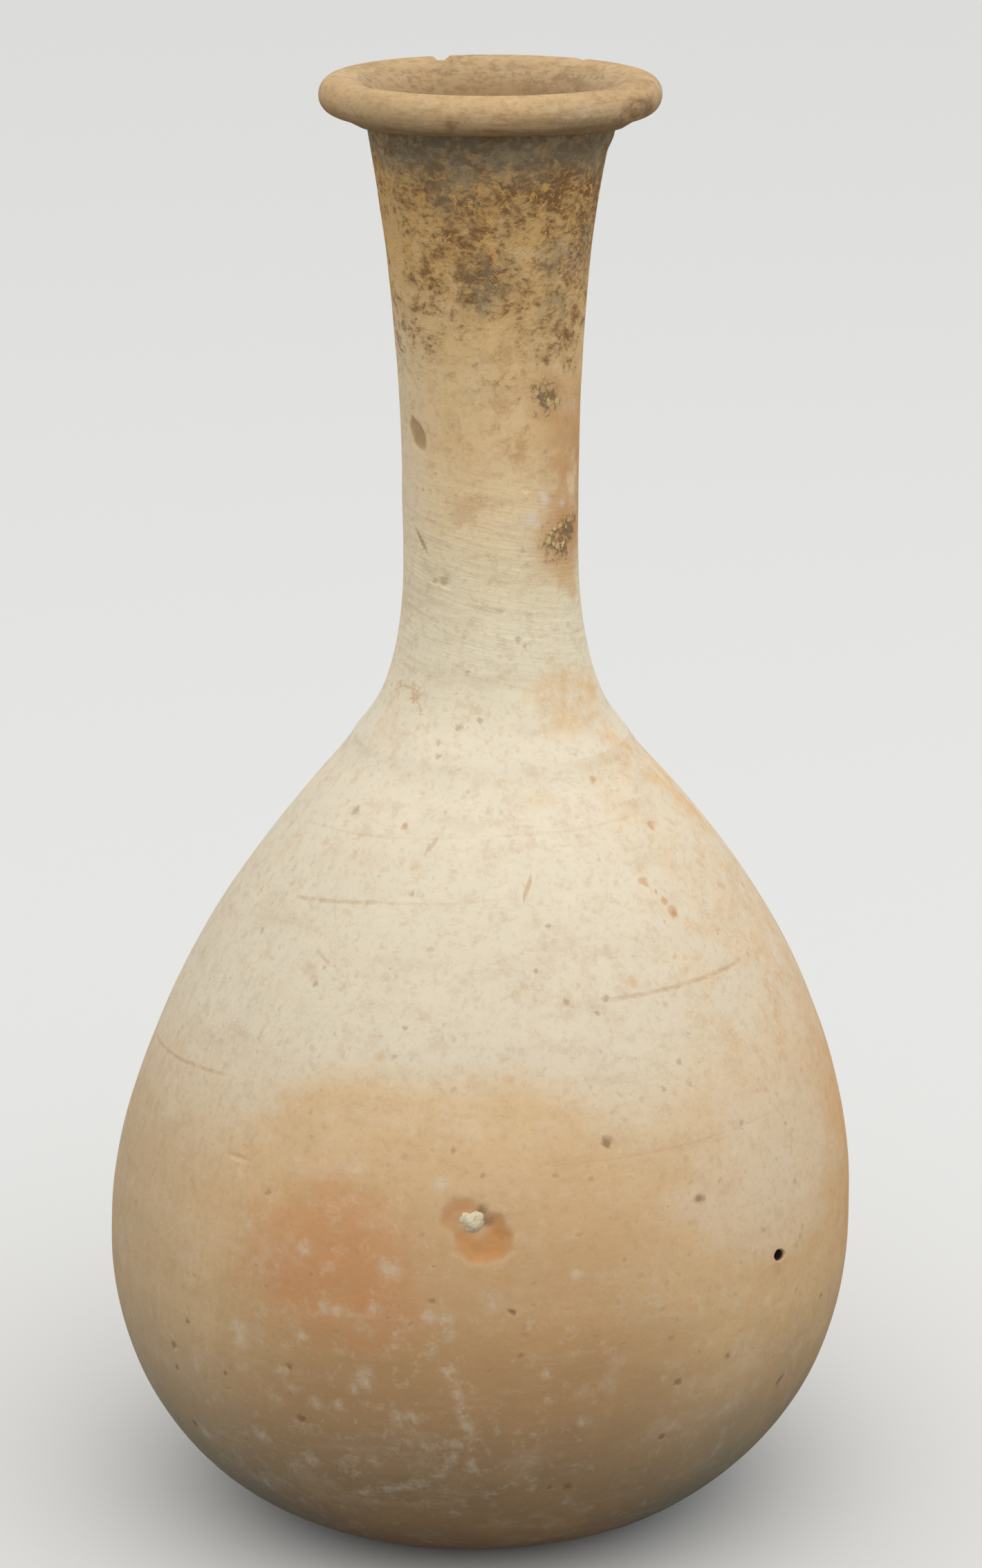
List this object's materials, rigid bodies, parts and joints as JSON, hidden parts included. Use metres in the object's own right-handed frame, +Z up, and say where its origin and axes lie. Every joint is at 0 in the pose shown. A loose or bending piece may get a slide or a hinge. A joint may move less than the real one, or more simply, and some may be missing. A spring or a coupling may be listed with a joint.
{
  "type": "unguentarium",
  "caption": "Wheel-thrown ceramic oil bottle with a pear-shaped body, a tall flaring neck and a rolled everted lip, open at the mouth, standing on a small flat foot.",
  "frame": {"origin": "on the ground, under the middle of the belly", "axes": "+Z up from the foot to the mouth, -Y towards the face with the lime spall"},
  "size_m": [0.0934, 0.0934, 0.18],
  "materials": {
    "base_clay": "unglazed, matt, shaded tan",
    "lower_clay": "unglazed, matt, tan",
    "upper_clay": "unglazed, matt, cream",
    "neck_clay": "unglazed, matt, buff with dark stains",
    "rim_clay": "unglazed, worn smooth, tan",
    "lime": "chalky white"
  },
  "bodies": {
    "root": {"base_disc": "base_clay", "lower_body": "lower_clay", "upper_body": "upper_clay", "neck": "neck_clay", "rim": "rim_clay", "lime_grain": "lime"}
  },
  "joints": []
}
